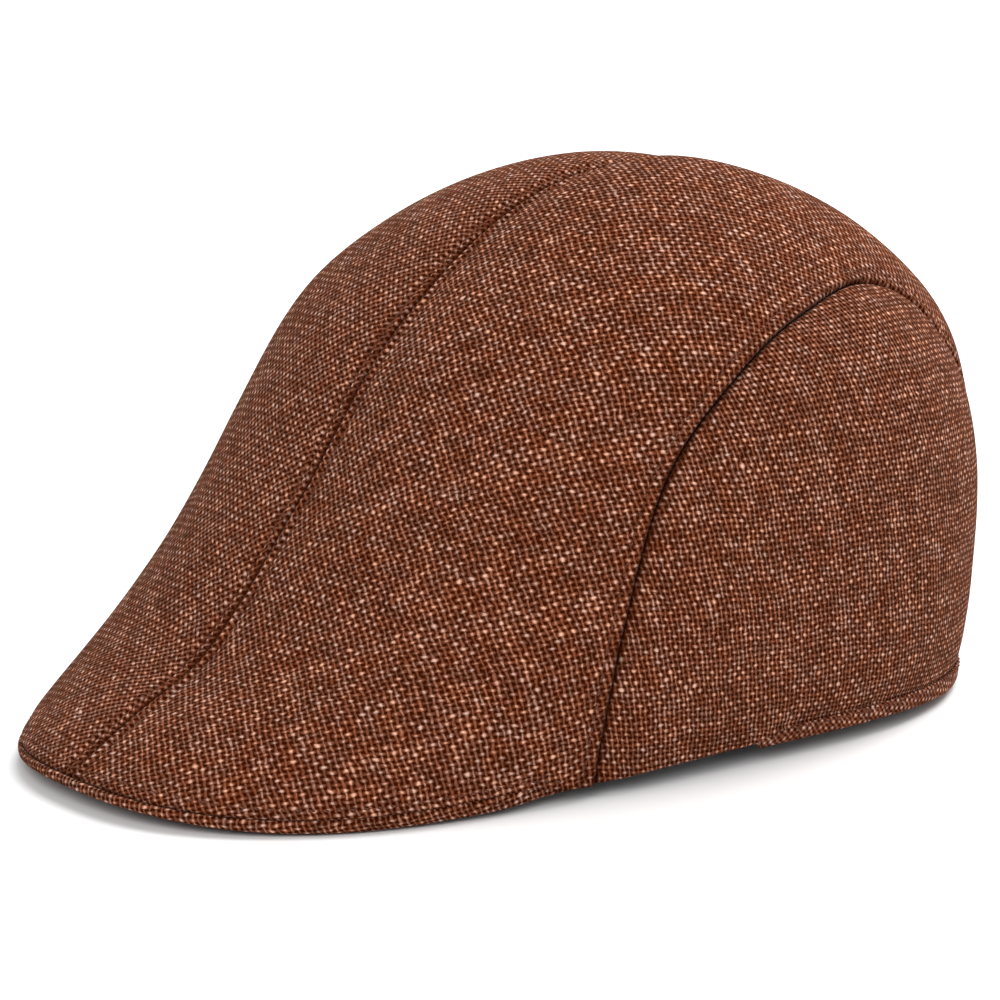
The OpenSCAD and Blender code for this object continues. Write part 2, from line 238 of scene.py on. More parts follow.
def top_disk(u, v, lined=False):
    """Disk point of a top panel: u runs from the front to the back, v from the centre seam to the side."""
    u, v = grids(u, v)
    spine = mix(top_front(0, lined), top_back(0), u[..., None])
    first, last = top_front(1, lined), top_back(1)
    seam = trimmed_seam(u) + (1 - u[..., None]) * (first - trimmed_seam(np.zeros(())))
    sides = mix(spine, seam, v[..., None])
    ends = mix(top_front(v, lined), top_back(v), u[..., None])
    corners = mix(spine, mix(first, last, u[..., None]), v[..., None])
    gap = 0.0 if lined else SEAM_GAP
    return sides + ends - corners + np.stack([gap * (1 - 2 * v), 0 * v], -1)


def side_disk(u, v, opening=SEAM_OPENING):
    """Disk point of a side panel: u runs along the seam to the back, v from the hem up to the seam."""
    u, v = grids(u, v)
    gap = SEAM_GAP + opening * (1 - smooth(u / OPENING_END))
    angle = mix(TEMPLE_ANGLE + SIDE_CLEARANCE, NAPE_ANGLE - SIDE_CLEARANCE, u**SIDE_SPREAD)
    hem = disk_at(angle, np.full_like(angle, EDGE_RISE))
    return mix(hem, trimmed_seam(u) + np.stack([gap, 0 * gap], -1), v[..., None])


# ---------- Flattening ----------

TINY_AREA = 1e-9
WEIGHT_RANGE = (0.05, 6)  # keeps thin triangles from pulling too little or too much


def flatten(grid, rounds=40):
    """Flat positions of a curved grid of points, turned and sheared as little as the cloth allows.

    Each round turns every triangle to its best flat direction, then finds the points that fit all of
    them best (as-rigid-as-possible flattening).
    """
    rows, cols = grid.shape[:2]
    quads = grid_faces(rows, cols)
    faces = np.concatenate([quads[:, :3], quads[:, [0, 2, 3]]])
    corner = grid.reshape(-1, 3)[faces]
    first, second = corner[:, 1] - corner[:, 0], corner[:, 2] - corner[:, 0]
    length = np.linalg.norm(first, axis=1)
    along = (first * second).sum(1) / length
    height = np.sqrt(np.maximum((second**2).sum(1) - along**2, TINY_AREA))
    zero = np.zeros_like(length)
    local = np.stack([
        np.stack([zero, zero], -1), np.stack([length, zero], -1), np.stack([along, height], -1)], 1)
    pairs = [(0, 1, 2), (1, 2, 0), (2, 0, 1)]
    laplacian = np.zeros((rows * cols, rows * cols))
    weights = []
    for i, j, k in pairs:
        p, q = local[:, i] - local[:, k], local[:, j] - local[:, k]
        area = np.abs(p[:, 0] * q[:, 1] - p[:, 1] * q[:, 0])
        weight = np.clip((p * q).sum(1) / np.maximum(area, TINY_AREA), *WEIGHT_RANGE)
        weights.append(weight)
        for m, n in ((i, j), (j, i)):
            np.add.at(laplacian, (faces[:, m], faces[:, m]), weight)
            np.add.at(laplacian, (faces[:, m], faces[:, n]), -weight)
    laplacian[0, 0] += 1
    solve = np.linalg.inv(laplacian)
    flat = np.stack([run_length(grid, 0), run_length(grid, 1)], -1).reshape(-1, 2)
    for _ in range(rounds):
        turn = np.zeros((len(faces), 2, 2))
        for (i, j, _), weight in zip(pairs, weights):
            edge = flat[faces[:, i]] - flat[faces[:, j]]
            turn += weight[:, None, None] * edge[:, :, None] * (local[:, i] - local[:, j])[:, None, :]
        angle = np.arctan2(turn[:, 1, 0] - turn[:, 0, 1], turn[:, 0, 0] + turn[:, 1, 1])
        cosine, sine = np.cos(angle), np.sin(angle)
        target = np.zeros_like(flat)
        for (i, j, _), weight in zip(pairs, weights):
            x, y = (local[:, i] - local[:, j]).T
            pull = weight[:, None] * np.stack([cosine * x - sine * y, sine * x + cosine * y], -1)
            np.add.at(target, faces[:, i], pull)
            np.add.at(target, faces[:, j], -pull)
        flat = solve @ target
    return flat.reshape(rows, cols, 2)


def cut_size(flat):
    """Narrowest width, the length across it, and the area of a flat piece of cloth, in metres."""
    spots = flat.reshape(-1, 2)
    turns = np.radians(np.arange(0, 180, 2))
    ways = np.stack([np.cos(turns), np.sin(turns)])
    spans = np.ptp(spots @ ways, axis=0)
    quarter = len(turns) // 2
    best = min(range(len(turns)), key=lambda k: spans[k] * spans[(k + quarter) % len(turns)])
    one, other = flat[1:, 1:] - flat[:-1, :-1], flat[1:, :-1] - flat[:-1, 1:]
    area = 0.5 * np.abs(one[..., 0] * other[..., 1] - one[..., 1] * other[..., 0]).sum()
    width, length = sorted([spans[best], spans[(best + quarter) % len(turns)]])
    return width * MM, length * MM, area * MM * MM


# ---------- Cloth on the surface ----------

# Distances from an edge where a mesh has columns: close together over the rolled edge and the stitching
EDGE_STEPS = np.array([0, 0.12, 0.3, 0.55, 0.85, 1.2, 1.7, 2.3, 2.8, 3.2, 3.6, 4.1, 4.8])
ROLL_R, SIDE_ROLL_R = 1.0, 1.3
VALLEY_POWER = 1.3


def stations(lengths, count):
    """Places across strips of the given lengths: crowded at both edges and even between them."""
    lengths = lengths[:, None]
    edge = EDGE_STEPS * np.minimum(1, lengths / (3 * EDGE_STEPS[-1]))
    middle = mix(edge[:, -1:], lengths - edge[:, -1:], np.linspace(0, 1, count))
    return np.concatenate([edge[:, :-1], middle, (lengths - edge[:, :-1])[:, ::-1]], 1)


class Cloth:
    """A piece of cloth cut to an outline on the disk map, with its lengths on the cap and its flat shape."""

    FINE = np.linspace(0, 1, 200)
    ROWS, COLS = 41, 17
    TRIM = 0.008  # the flattening stops this short of the ends, where a side panel comes to a point

    def __init__(self, disk, yarn_turns, yarn_pitches):
        self.disk = disk
        self.run = run_length(on_disk(disk(self.FINE, np.full_like(self.FINE, 0.5))))
        rows = np.linspace(self.TRIM, 1 - self.TRIM, self.ROWS)
        self.flat = flatten(on_disk(disk(rows[:, None], np.linspace(0, 1, self.COLS)[None, :])))
        turns = np.radians(yarn_turns)
        self.yarns = np.stack([np.cos(turns), np.sin(turns)]) / yarn_pitches

    def lines(self, u):
        """Distance from the first edge, at fine steps across the cloth."""
        return run_length(on_disk(self.disk(u[:, None], self.FINE[None, :])), axis=1)

    def place(self, u, across):
        """What the relief needs to know at distances across the cloth from its first edge."""
        lines = self.lines(u)
        v = np.stack([np.interp(row, line, self.FINE) for row, line in zip(across, lines)])
        wide_u = np.broadcast_to(u[:, None], v.shape)
        row = (wide_u - self.TRIM) / (1 - 2 * self.TRIM) * (self.ROWS - 1)
        front = np.interp(wide_u, self.FINE, self.run)
        return dict(
            spot=self.disk(wide_u, v), first=across, second=lines[:, -1:] - across,
            front=front, back=self.run[-1] - front, flat=spline_grid(self.flat, row, v * (self.COLS - 1)))

    def grid(self, rows, cols):
        u = np.interp(stations(self.run[-1:], rows)[0], self.run, self.FINE)
        return self.place(u, stations(self.lines(u)[:, -1], cols))

    def grain(self, place, seed):
        return seeded(place["flat"] @ self.yarns, seed)


def seeded(counts, seed):
    """Grain: yarn counts in both directions, and a seed that sets one piece's yarns apart from another's."""
    return np.concatenate([counts, np.full_like(counts[..., :1], seed)], -1)


NOISE_CELLS = 72
NOISE_START = 60  # millimetres that keep every place on the lattice


def value_noise(spots, scale, seed):
    """Smooth random heights from -1 to 1, with about one bump to each scale."""
    lattice = np.random.default_rng(seed).uniform(-1, 1, (NOISE_CELLS, NOISE_CELLS, 1))
    cell = (spots + NOISE_START) / scale
    return spline_grid(lattice, cell[..., 0], cell[..., 1])[..., 0]


def edge_roll(distance, radius=ROLL_R):
    """Quarter circle over which an edge of cloth turns down into a seam."""
    inside = radius - np.clip(distance, 0, radius)
    return np.sqrt(radius**2 - inside**2) - radius


def seam_pull(distance, depth, reach):
    """Valley along an edge, steeper near it than farther out."""
    return -depth * np.exp(-(np.maximum(distance, 0) / reach)**VALLEY_POWER)


def ridge(distance, at, height, width=0.6):
    """Raised line at a distance from an edge, or a furrow where the height is negative."""
    return height * np.exp(-((distance - at) / width)**2)


# Depths of the valleys along the centre seam and the side seams, at even steps from the front to the back
CENTRE_VALLEY = np.array([0.3, 0.4, 0.7, 1.3, 1.7, 1.2, 0.9, 0.8, 0.8])
SIDE_VALLEY = np.array([2.2, 2.2, 2.2, 1.9, 1.4, 0.7, 0.6, 0.8, 0.9])
CENTRE_STITCH, SIDE_STITCH, LIP_STITCH = 3.2, 3.8, 2.8
LEFT_SEED, RIGHT_SEED = 11, 23
# Where each top panel is stuffed fuller or hangs slacker than the master surface: distances from the lip
# and from the centre seam, reach and height
SWELLS = {
    LEFT_SEED: [(211, 15, 26, 3.1)],
    RIGHT_SEED: [(214, 15, 27, 0.6), (132, 62, 27, 1.4), (68, 64, 22, -1.3), (9, 62, 14, 0.7)]}


def valley_at(at, depths):
    return spline(depths[:, None], (at["spot"][..., 1] + 1) / 2 * (len(depths) - 1))[..., 0]


# Height and size of the large and the small dents, height of the puckers beside a seam, and where they lie
TOP_DENTS, SIDE_DENTS = ((0.45, 34), (0.12, 15)), ((0.5, 30), (0.12, 14))
CENTRE_PUCKER, SIDE_PUCKER = 0.16, 0.25
PUCKER_SIZE, PUCKER_REACH, PUCKER_STRETCH = 7, 9, 0.4
TOP_FULLNESS, SIDE_FULLNESS = 1.1, 0.9
VALLEY_REACH, SIDE_VALLEY_REACH = 8, 4.5
TOP_SHARE = 0.25  # share of the side seam's valley that lies in the top panel


def inside(at, **reaches):
    """From 0 at the named edges to 1 at these distances from them."""
    return math.prod(smooth(at[edge] / reach) for edge, reach in reaches.items())


def dents(at, seed, sizes):
    return sum(height * value_noise(at["flat"], scale, seed + k) for k, (height, scale) in enumerate(sizes))


def puckers(at, edge, seed):
    """Short waves across a seam, where its stitches gather the cloth."""
    waves = value_noise(np.stack([at["front"], at[edge] * PUCKER_STRETCH], -1), PUCKER_SIZE, seed)
    return waves * np.exp(-at[edge] / PUCKER_REACH)


def swells(at, seed):
    return inside(at, first=9, second=20, front=6) * sum(
        height * np.exp(-((at["front"] - front)**2 + (at["first"] - first)**2) / reach**2)
        for front, first, reach, height in SWELLS[seed])


def top_relief(at, seed):
    """How far a top panel stands proud of the master surface, and its outer face's roll at the edges."""
    full = TOP_FULLNESS + dents(at, seed, TOP_DENTS)
    soft = (
        full * inside(at, first=30, second=26, front=30) + swells(at, seed)
        + CENTRE_PUCKER * puckers(at, "first", seed + 2) + SIDE_PUCKER * puckers(at, "second", seed + 3)
        + seam_pull(at["first"], valley_at(at, CENTRE_VALLEY), VALLEY_REACH)
        + seam_pull(at["second"], TOP_SHARE * valley_at(at, SIDE_VALLEY), VALLEY_REACH)
        + ridge(at["first"], 1.5, 0.3, 1.0) + ridge(at["first"], CENTRE_STITCH, -0.65)
        + ridge(at["second"], SIDE_STITCH, -0.4) + ridge(at["front"], LIP_STITCH, -0.25))
    return soft, edge_roll(at["first"]) + edge_roll(at["second"], SIDE_ROLL_R) + edge_roll(at["front"])


def side_relief(at, seed):
    """How far a side panel stands proud of the master surface, and its outer face's roll at the edges."""
    angle = np.degrees(np.arctan2(at["spot"][..., 0], -at["spot"][..., 1]))
    bound = smooth((angle - BINDING_ANGLE) / 8)
    soft = (
        (SIDE_FULLNESS + dents(at, seed, SIDE_DENTS)) * inside(at, first=14, second=24)
        + SIDE_PUCKER * puckers(at, "second", seed + 2)
        + seam_pull(at["second"], valley_at(at, SIDE_VALLEY), SIDE_VALLEY_REACH)
        + ridge(at["first"], BINDING_CREASE, -0.45, 0.9) * bound)
    return soft, edge_roll(at["second"], SIDE_ROLL_R) + edge_roll(at["first"], SIDE_ROLL_R)


def seam_painted_shade(at):
    """Painted shade of the side seam: how far it shuts out the light, from 0 to 1, and how strong the seam is
    there.
    """
    strength = valley_at(at, SIDE_VALLEY) / SIDE_VALLEY.max()
    return strength * ridge(at["second"], 0, 1.0, 1.2), strength


def top_painted_shade(at):
    """Painted shade of a top panel: how far its seams and topstitching shut out the light, from 0 to 1."""
    seam, strength = seam_painted_shade(at)
    return np.clip(
        seam + strength * ridge(at["second"], SIDE_STITCH, 0.45, 0.5) + ridge(at["first"], 0, 0.9, 0.7)
        + ridge(at["first"], CENTRE_STITCH, 0.6, 0.45) + ridge(at["front"], 0, 0.6, 0.8), 0, 1)


# painted shade of a side panel, along its side seam
def side_painted_shade(at):
    return np.clip(seam_painted_shade(at)[0], 0, 1)


LINING_DROP = 0.5  # how far the lining hangs below its own depth
LINING_VALLEY_REACH, LINING_CENTRE_REACH = 7, 12


def lining_relief(at, seed, seams):
    """The lining hangs a little loose below the shell, and below the valleys of its seams."""
    folds = value_noise(np.stack([at["front"] * 0.5, at["first"]], -1), 16, seed)
    loose = inside(at, first=12, second=12) * (0.5 + 0.5 * folds)
    return -LINING_DEPTH - LINING_DROP + seams * inside(at, front=25, back=25) - loose, 0 * at["first"]


def lining_side_seam(at):
    return seam_pull(at["second"], valley_at(at, SIDE_VALLEY), LINING_VALLEY_REACH)


def lining_top_relief(at, seed):
    centre = np.maximum(0, valley_at(at, CENTRE_VALLEY) - 0.4)
    return lining_relief(at, seed, seam_pull(at["first"], centre, LINING_CENTRE_REACH) + lining_side_seam(at))


def lining_side_relief(at, seed):
    return lining_relief(at, seed, lining_side_seam(at))


# ---------- Meshes ----------


def new_piece(name, vertices, faces, grain, slot):
    """Object made of vertices in millimetres, riding on the cap and wearing the material of its slot."""
    mesh = bpy.data.meshes.new(name)
    mesh.from_pydata((np.asarray(vertices) * MM).tolist(), [], [[int(k) for k in face] for face in faces])
    mesh.polygons.foreach_set("use_smooth", [True] * len(mesh.polygons))
    mesh.attributes.new("grain", "FLOAT_VECTOR", "POINT").data.foreach_set("vector", np.ravel(grain))
    mesh.materials.append(MATERIALS[slot])
    piece = bpy.data.objects.new(name, mesh)
    bpy.context.scene.collection.objects.link(piece)
    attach(piece, "root")
    return piece


def grid_faces(rows, cols):
    """Quads of a grid of points that is rows by cols."""
    index = np.arange(rows * cols).reshape(rows, cols)
    return np.stack([index[:-1, :-1], index[1:, :-1], index[1:, 1:], index[:-1, 1:]], -1).reshape(-1, 4)


def closed_sheet(rows, cols):
    """Faces of a sheet between two grids: the outer one turns clockwise seen from outside."""
    size = rows * cols
    index = np.arange(size).reshape(rows, cols)
    top = grid_faces(rows, cols)
    rim = np.concatenate([index[0], index[1:, -1], index[-1, -2::-1], index[-2:0:-1, 0]])
    ahead = np.roll(rim, -1)
    walls = np.stack([rim, ahead, ahead + size, rim + size], -1)
    return np.concatenate([top, top[:, ::-1] + size, walls])


def make_sheet(name, outer, inner, grain, slot, flip=False, mirror=False):
    """Closed sheet of cloth between two grids of points; mirror makes the right-hand one."""
    faces = closed_sheet(*outer.shape[:2])
    vertices = np.concatenate([outer.reshape(-1, 3), inner.reshape(-1, 3)])
    if mirror:
        vertices = vertices * [-1, 1, 1]
    if flip != mirror:
        faces = faces[:, ::-1]
    both = np.concatenate([grain.reshape(-1, 3)] * 2)
    return new_piece(name, vertices, faces, both, slot)


# Rings of one stitch: place along it, thickness, and height above the cloth in thread radii
STITCH_RINGS = np.array([
    [0, 0.3, -1.4], [0.1, 0.8, -0.5], [0.3, 1, 0.0], [0.7, 1, 0.0], [0.9, 0.8, -0.5], [1, 0.3, -1.4]])
STITCH_SIDES = 8
SEW_R = 0.3  # radius of the sewing thread, which lies half sunk in the cloth


def make_stitches(name, starts, ends, normals, slot):
    """One piece of many stitches: each is a short round thread that dips into the cloth at both ends."""
    along = unit(ends - starts)
    across = unit(np.cross(along, normals))
    turn = np.arange(STITCH_SIDES) * 2 * np.pi / STITCH_SIDES
    count, rings = len(starts), len(STITCH_RINGS)
    vertices = np.zeros((count, rings, STITCH_SIDES, 3))
    grain = np.zeros_like(vertices)
    for k, (place, thickness, height) in enumerate(STITCH_RINGS):
        centre = mix(starts, ends, place) + height * SEW_R * normals
        spin = np.cos(turn)[None, :, None] * across[:, None] + np.sin(turn)[None, :, None] * normals[:, None]
        vertices[:, k] = centre[:, None] + thickness * SEW_R * spin
        grain[:, k, :, 0] = place * np.linalg.norm(ends - starts, axis=1)[:, None] / SEW_R
        grain[:, k, :, 1] = turn / (2 * np.pi)
        grain[:, k, :, 2] = np.arange(count)[:, None]
    ring = np.arange(STITCH_SIDES)
    ahead = np.roll(ring, -1)
    tube = [
        [near + a, near + b, near + STITCH_SIDES + b, near + STITCH_SIDES + a]
        for near in range(0, (rings - 1) * STITCH_SIDES, STITCH_SIDES) for a, b in zip(ring, ahead)]
    cap = [[0, a, a + 1, a + 2] for a in range(1, STITCH_SIDES - 1, 2)]
    far_cap = [[(rings - 1) * STITCH_SIDES + i for i in face[::-1]] for face in cap]
    shape = np.array(tube + cap + far_cap)
    size = rings * STITCH_SIDES
    faces = (shape[None] + (np.arange(count) * size)[:, None, None]).reshape(-1, 4)
    return new_piece(name, vertices.reshape(-1, 3), faces[:, ::-1], grain.reshape(-1, 3), slot)


# ---------- Materials ----------


TURN = 2 * math.pi
SHEEN_ROUGHNESS = 0.25


class Graph:
    """A material's nodes: each method adds nodes and gives back an output.

    In add, vector and noise, a pair in brackets stands for a value times a factor.
    """

    def __init__(self, name):
        self.material = bpy.data.materials.new(name)
        self.material.use_nodes = True
        self.nodes = self.material.node_tree.nodes
        self.links = self.material.node_tree.links
        self.shader = self.nodes["Principled BSDF"]

    def feed(self, node, inputs):
        for name, value in inputs.items():
            if isinstance(value, bpy.types.NodeSocket):
                self.links.new(value, node.inputs[name])
            else:
                node.inputs[name].default_value = value

    def node(self, kind, inputs, **settings):
        """Outputs of a new node with its settings, and its inputs by name or by number."""
        node = self.nodes.new(f"ShaderNode{kind}")
        for name, value in settings.items():
            setattr(node, name, value)
        self.feed(node, inputs)
        return node.outputs

    def math(self, operation, *values):
        return self.node("Math", dict(enumerate(values)), operation=operation)[0]

    def times(self, a, b):
        return self.math("MULTIPLY", a, b)

    def scaled(self, values):
        return [self.times(*value) if isinstance(value, tuple) else value for value in values]

    def add(self, *values):
        total, *rest = self.scaled(values)
        for value in rest:
            total = self.math("ADD", total, value)
        return total

    def vector(self, *values):
        return self.node("CombineXYZ", dict(enumerate(self.scaled(values))))[0]

    def ramp(self, value, low, high, to_low=0.0, to_high=1.0):
        """Value mapped smoothly from low..high to another range."""
        inputs = {"Value": value, "From Min": low, "From Max": high, "To Min": to_low, "To Max": to_high}
        return self.node("MapRange", inputs, interpolation_type="SMOOTHSTEP")["Result"]

    def choose(self, factor, a, b, **settings):
        return self.node("Mix", {"Factor": factor, "A": a, "B": b}, **settings)["Result"]

    def colour(self, factor, a, b, blend="MIX"):
        a, b = ((*colour, 1) if isinstance(colour, tuple) else colour for colour in (a, b))
        return self.choose(factor, a, b, data_type="RGBA", blend_type=blend)

    def noise(self, *place, scale=1.0, detail=2.0):
        """Noise from 0 to 1, mostly near a half, at a vector or at two or three numbers."""
        spot = place[0] if len(place) == 1 else self.vector(*place)
        return self.node("TexNoise", {"Vector": spot, "Scale": scale, "Detail": detail})[0]

    def random(self, *place):
        """One random number from 0 to 1 for each whole-number place."""
        return self.node("TexWhiteNoise", {"Vector": self.vector(*place)})["Value"]

    def attribute(self, name):
        return self.node("Attribute", {}, attribute_name=name)

    def grain(self):
        return tuple(self.node("SeparateXYZ", {"Vector": self.attribute("grain")["Vector"]}))

    def place(self):
        return self.node("TexCoord", {})["Object"]

    def bump(self, height, distance):
        """Relief of a height, which the distance in millimetres scales."""
        return self.node("Bump", {"Strength": 1.0, "Distance": distance * MM, "Height": height})["Normal"]

    def finish(self, colour, roughness, normal=None, sheen=0.0, specular=0.5, sheen_tint=(1, 1, 1)):
        self.feed(self.shader, {
            "Base Color": colour, "Roughness": roughness, "Specular IOR Level": specular,
            "Sheen Weight": sheen, "Sheen Roughness": SHEEN_ROUGHNESS, "Sheen Tint": (*sheen_tint, 1)})
        if normal is not None:
            self.feed(self.shader, {"Normal": normal})
        return self.material


# Tints of the yarns where the dye took less and more of the copper colour
COOL_CAST, WARM_CAST = (0.88, 0.94, 1.0), (1.1, 0.98, 0.84)
SHEEN_TINT = (1.0, 0.68, 0.52)
WARP_HALF, WEFT_HALF = 0.225, 0.29  # half width of a yarn, in pitches
WARP_WAVE, WEFT_WAVE = (0.7, 0.2), (1.6, 0.72)  # how short a yarn's crests are, and how far it swings
DRIFT, DRIFT_RATE = 1.5, 0.09  # how far yarns wander in pitches, and how fast
SHAKE, SHAKE_RATE = 0.7, 0.7  # the same over short distances
NO_YARN, BOTTOM = -4.0, -0.9  # heights that stand for no yarn and for the bottom of a hole
WEAVE_RELIEF = 0.45


def weave_material(name, hole, shade, crest, tightness=0.0):
    """Open plain weave of uneven yarns with their own tones and slubs, with painted highlights on their
    crests and painted shade in the holes and low parts.
    """
    g = Graph(name)
    s, t, seed = g.grain()

    def wandering(a, b, drift_seed, shake_seed):
        drift = g.noise((a, DRIFT_RATE), (b, DRIFT_RATE), drift_seed)
        shake = g.noise((a, SHAKE_RATE), (b, SHAKE_RATE), shake_seed)
        return g.add(a, (drift, DRIFT), (shake, SHAKE), -(DRIFT + SHAKE) / 2)

    x = wandering(s, t, (seed, 7.3), (seed, 2.9))
    y = wandering(t, s, seed, (seed, 4.1))
    i, j = g.math("FLOOR", x), g.math("FLOOR", y)
    off_x = g.math("SUBTRACT", g.math("FRACT", x), 0.5)
    off_y = g.math("SUBTRACT", g.math("FRACT", y), 0.5)

    def yarn(number, along, off, kind, half_width):
        """Tone of a yarn at a place along it, and the height of its cross-section, below 0 outside it."""
        own = g.random(number, kind, seed)
        slub = g.noise((number, 3.71), (along, 0.45), g.add(seed, kind), detail=3.0)
        fibre = g.noise((off, 9.0), (along, 1.4), g.add(number, kind))
        tone = g.add((own, 0.2), (slub, 0.9), (fibre, 0.7), -0.4)
        half = g.add((slub, 0.16), (own, 0.04), half_width + tightness - 0.1)
        share = g.math("DIVIDE", off, half)
        return tone, g.math("SUBTRACT", 1.0, g.times(share, share))

    def stacked(section, along, number, phase, sharpness, swing):
        """Height of a yarn as it passes over and under the others, or far below where there is no yarn."""
        cosine = g.math("COSINE", g.times(g.add(along, number, phase), math.pi))
        wave = g.add((g.math("POWER", g.add((cosine, 0.5), 0.5), sharpness), 2.0), -1.0)
        gap = g.times(g.math("LESS_THAN", section, 0.0), NO_YARN)
        return g.add((section, 0.5), (wave, swing), gap)

    warp_tone, warp_section = yarn(i, y, off_x, 1.0, WARP_HALF)
    weft_tone, weft_section = yarn(j, x, off_y, 2.0, WEFT_HALF)
    warp = stacked(warp_section, y, i, -0.5, *WARP_WAVE)
    weft = stacked(weft_section, x, j, 0.5, *WEFT_WAVE)
    height = g.math("MAXIMUM", g.math("MAXIMUM", warp, weft), BOTTOM)
    patch = g.noise((s, 0.26), (t, 0.26), (seed, 3.1), detail=4.0)
    own_tone = g.choose(g.math("GREATER_THAN", weft, warp), warp_tone, weft_tone)
    tone = g.add(own_tone, (patch, 0.85), (g.random(i, j, seed), 0.55), -0.7)
    # the yarns' own tone plus painted light by height: crests painted lighter as highlights, holes and low
    # parts painted in shade
    light = g.add((height, 0.62), (tone, 0.6))
    low = g.colour(g.ramp(light, -0.2, 0.68), hole, shade)
    toned_and_painted_light = g.colour(g.ramp(light, 0.6, 1.35), low, crest)
    cast = g.noise((i, 0.37), (j, 0.37), (seed, 5.7), detail=3.0)
    tint = g.colour(g.ramp(cast, 0.35, 0.65), COOL_CAST, WARM_CAST)
    cloth = g.colour(1.0, toned_and_painted_light, tint, "MULTIPLY")
    # painted shade in the seams and topstitching: the cloth is darkened towards the hole colour there
    cloth_with_painted_shade = g.colour(g.attribute("painted_shade")["Fac"], cloth, hole)
    relief = g.add(height, (g.noise((x, 11.0), (y, 11.0), seed), 0.3))
    return g.finish(
        cloth_with_painted_shade, g.ramp(tone, 0.0, 1.0, 0.8, 0.62), g.bump(relief, WEAVE_RELIEF), sheen=0.09, specular=0.0,
        sheen_tint=SHEEN_TINT)


def satin_material(name, dark, light):
    """Smooth lining with fine floats across it and a soft shine."""
    g = Graph(name)
    s, t, seed = g.grain()
    thread = g.noise((s, 9.0), (t, 1.2), seed)
    cloud = g.noise((s, 0.1), (t, 0.1), seed, detail=3.0)
    colour = g.colour(g.ramp(g.add((thread, 0.5), (cloud, 0.5)), 0.3, 0.7), dark, light)
    step = g.math("SINE", g.times(g.add((s, 2.4), t), TURN))
    relief = g.bump(g.add((thread, 0.6), (step, 0.3)), 0.06)
    return g.finish(colour, g.ramp(thread, 0.3, 0.7, 0.34, 0.5), relief, sheen=0.1)


def ribbed_material(name, dark, light, ribs, slant):
    """Tape with ribs across it, such as twill where they slant or elastic where they don't."""
    g = Graph(name)
    s, t, seed = g.grain()
    place = g.times(g.add(s, (t, slant)), ribs)
    rib = g.math("SINE", g.times(place, TURN))
    own = g.random(g.math("FLOOR", place), seed)
    fibre = g.noise((s, 6.0), (t, 6.0), seed, detail=3.0)
    colour = g.colour(g.ramp(g.add((rib, 0.22), (own, 0.25), (fibre, 0.6)), 0.1, 0.9), dark, light)
    relief = g.bump(g.add(rib, (fibre, 0.8)), 0.12)
    return g.finish(colour, g.ramp(fibre, 0.3, 0.7, 0.7, 0.9), relief, sheen=0.15, specular=0.3)


def label_material(name, dark, light):
    """Close taffeta tape: fine yarns both ways and slightly uneven."""
    g = Graph(name)
    s, t, seed = g.grain()
    one, other = (g.math("SINE", g.times(place, rate * TURN)) for place, rate in ((s, 2.6), (t, 2.2)))
    cloud = g.noise(s, t, seed, scale=0.6, detail=4.0)
    colour = g.colour(g.ramp(g.add((one, 0.12), (other, 0.12), cloud), 0.25, 0.8), dark, light)
    relief = g.bump(g.add(one, other), 0.05)
    return g.finish(colour, g.ramp(cloud, 0.3, 0.7, 0.5, 0.7), relief, sheen=0.1, specular=0.4)


def thread_material(name, dark, light):
    """Two-ply spun thread: the grain counts radii along it and turns round it."""
    g = Graph(name)
    along, turn, number = g.grain()
    ply = g.math("SINE", g.times(g.add((along, 0.28), (turn, 2.0)), TURN))
    fuzz = g.noise((along, 2.0), (turn, 6.0), number, detail=3.0)
    tone = g.add((ply, 0.2), (g.random(number, 3.0), 0.25), (fuzz, 0.6))
    colour = g.colour(g.ramp(tone, 0.1, 0.9), dark, light)
    return g.finish(colour, g.ramp(fuzz, 0.3, 0.7, 0.6, 0.8), g.bump(g.add(ply, fuzz), 0.08), specular=0.1)


def board_material(name, dark, light):
    """Matte moulded sheet with a fine stipple and faint scuffs."""
    g = Graph(name)
    place = g.place()
    stipple = g.noise(place, scale=1800.0, detail=3.0)
    scuff = g.noise(place, scale=60.0, detail=5.0)
    colour = g.colour(g.ramp(scuff, 0.35, 0.7), dark, light)
    return g.finish(colour, g.ramp(scuff, 0.3, 0.7, 0.5, 0.68), g.bump(stipple, 0.05), specular=0.4)


# Colours of the holes, painted in shade, of the yarns where they lie low, and of their crests, painted as
# highlights; the holes' colour also paints the shade in the seams
COPPER = (0.03, 0.004, 0.0), (0.172, 0.053, 0.026), (0.74, 0.45, 0.35)
LOOKS = {
    "shell_cloth": (weave_material, *COPPER),
    "under_visor_cloth": (weave_material, *COPPER),
    "hem_cloth": (weave_material, *COPPER, 0.04),
    "lining": (satin_material, (0.010, 0.005, 0.004), (0.032, 0.016, 0.012)),
    "sweatband": (ribbed_material, (0.004, 0.003, 0.003), (0.022, 0.016, 0.015), 0.9, 0.7),
    "elastic": (ribbed_material, (0.004, 0.003, 0.003), (0.018, 0.016, 0.016), 0.55, 0.0),
    "label": (label_material, (0.50, 0.47, 0.41), (0.72, 0.69, 0.62)),
    "thread": (thread_material, (0.05, 0.017, 0.010), (0.20, 0.07, 0.04)),
    "inner_thread": (thread_material, (0.008, 0.005, 0.004), (0.035, 0.02, 0.016)),
    "label_thread": (thread_material, (0.42, 0.38, 0.32), (0.70, 0.66, 0.58)),
    "visor_board": (board_material, (0.010, 0.010, 0.011), (0.022, 0.022, 0.024))}
MATERIALS = {slot: make(slot, *values) for slot, (make, *values) in LOOKS.items()}

# ---------- Shell panels ----------

